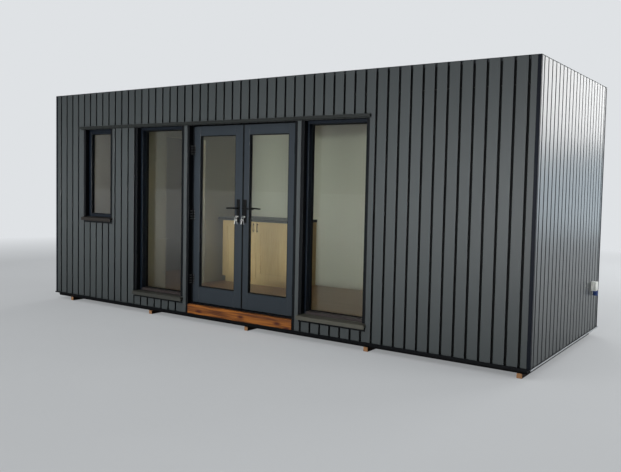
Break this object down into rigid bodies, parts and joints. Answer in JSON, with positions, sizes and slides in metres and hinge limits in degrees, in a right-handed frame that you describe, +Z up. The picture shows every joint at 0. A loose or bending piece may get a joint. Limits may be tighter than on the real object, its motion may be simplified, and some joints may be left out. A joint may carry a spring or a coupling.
{
  "type": "garden office pod",
  "caption": "Flat-roofed timber garden building with a glazed double door, tall side windows, a small washroom window and a floor on timber bearers.",
  "frame": {"origin": "the middle of the footprint, at ground level", "axes": "+X to the right along the front, +Y from the front to the back, +Z up"},
  "size_m": [6.52, 2.507, 2.763],
  "materials": {
    "bearer_timber": "sawn softwood",
    "black_timber": "black-stained sawn softwood",
    "floor_boards": "satin wood boards",
    "wall_structure": "insulated timber panel behind a black membrane",
    "room_lining": "painted lining",
    "painted_boards": "smooth slate-grey coated boards",
    "dark_trim": "anthracite powder coat",
    "grey_trim": "slate-grey powder coat",
    "black_trim": "near-black paint",
    "roof_rubber": "matt rubber roof sheet",
    "painted_frame": "anthracite satin paint",
    "window_glass": "clear sealed glass unit",
    "step_timber": "stained sawn softwood with knots",
    "black_hardware": "black powder coat",
    "door_paint": "slate-blue satin paint",
    "bright_metal": "nickel plate",
    "cabinet_panel": "oak-coloured panel",
    "worktop": "dark laminate",
    "white_plastic": "white moulded plastic",
    "blue_plastic": "blue moulded plastic"
  },
  "bodies": {
    "building": {"bearers": "bearer_timber", "base_long_beams": "black_timber", "base_end_beams": "black_timber", "floor_panel": "floor_boards", "front_wall_panels": "wall_structure", "front_wall_posts": "wall_structure", "front_wall_under_windows": "wall_structure", "front_wall_lintel": "wall_structure", "back_wall": "wall_structure", "left_wall": "wall_structure", "right_wall": "wall_structure", "partition_wall": "room_lining", "front_cladding": "painted_boards", "back_cladding": "painted_boards", "left_cladding": "painted_boards", "right_cladding": "painted_boards", "corner_trims": "dark_trim", "base_flashing": "dark_trim", "head_flashing": "grey_trim", "opening_trims": "black_trim", "roof_panel": "wall_structure", "roof_membrane": "roof_rubber", "roof_edge_trim": "dark_trim", "small_window_frame": "painted_frame", "small_window_sash": "painted_frame", "left_window_frame": "painted_frame", "right_window_frame": "painted_frame", "window_glass": "window_glass", "window_sills": "grey_trim", "door_jambs": "black_trim", "door_head": "black_trim", "door_threshold": "black_trim", "doorstep_beam": "step_timber", "frame_hinges": "black_hardware", "kitchen_cabinet": "cabinet_panel", "kitchen_fronts": "cabinet_panel", "kitchen_worktop": "worktop", "inlet_box": "white_plastic", "inlet_socket": "blue_plastic"},
    "left_door": {"left_leaf": "door_paint", "left_leaf_glass": "window_glass", "left_leaf_hinges": "black_hardware", "left_handle_plates": "black_hardware", "left_key": "bright_metal"},
    "left_door_lever": {"left_lever": "black_hardware"},
    "right_door": {"right_leaf": "door_paint", "right_leaf_glass": "window_glass", "right_leaf_hinges": "black_hardware", "right_handle_plates": "black_hardware", "right_key": "bright_metal"},
    "right_door_lever": {"right_lever": "black_hardware"}
  },
  "joints": [
    {"name": "left_door_swing", "type": "hinge", "parent": "building", "child": "left_door", "pos_m": [-0.7325, -1.174, 1.2545], "axis": [0, 0, -1], "range_deg": [0, 90]},
    {"name": "right_door_swing", "type": "hinge", "parent": "building", "child": "right_door", "pos_m": [0.7185, -1.174, 1.2545], "axis": [0, 0, 1], "range_deg": [0, 90]},
    {"name": "left_lever_turn", "type": "hinge", "parent": "left_door", "child": "left_door_lever", "pos_m": [-0.055, -1.136, 1.355], "axis": [0, -1, 0], "range_deg": [0, 35], "stiffness_Nm_per_rad": 1.5, "springref_deg": -20.05},
    {"name": "right_lever_turn", "type": "hinge", "parent": "right_door", "child": "right_door_lever", "pos_m": [0.041, -1.136, 1.355], "axis": [0, 1, 0], "range_deg": [0, 35], "stiffness_Nm_per_rad": 1.5, "springref_deg": -20.05}
  ]
}
